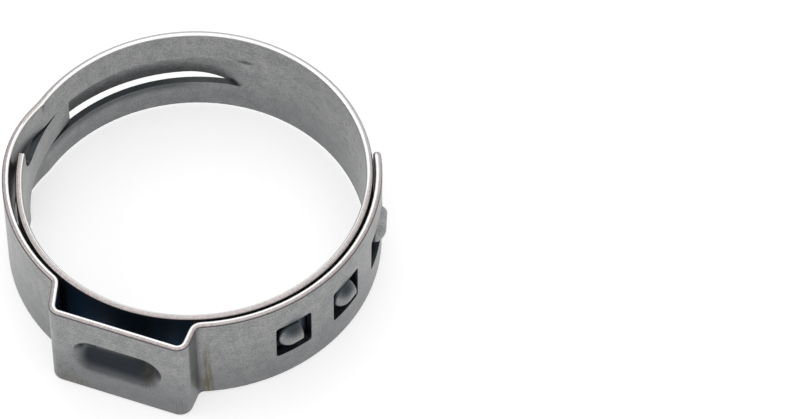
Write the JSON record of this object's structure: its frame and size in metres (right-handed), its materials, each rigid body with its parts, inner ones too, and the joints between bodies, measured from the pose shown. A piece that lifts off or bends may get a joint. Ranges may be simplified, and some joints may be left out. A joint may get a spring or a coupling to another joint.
{
  "type": "ear hose clamp",
  "caption": "Ear hose clamp bent from one steel strip: a lapped ring with a raised ear to pinch, hooks caught in windows, and a tongue in a channel.",
  "frame": {"origin": "centre of the bore in the plane of the lower rim", "axes": "+Z along the bore's axis, -Y through the middle of the ear, +X towards the side with the hooks"},
  "size_m": [0.0268, 0.0272, 0.0078],
  "materials": {
    "clamp_band": "satin stainless strip, lightly scratched"
  },
  "bodies": {
    "root": {"clamp_band": "clamp_band"}
  },
  "joints": []
}
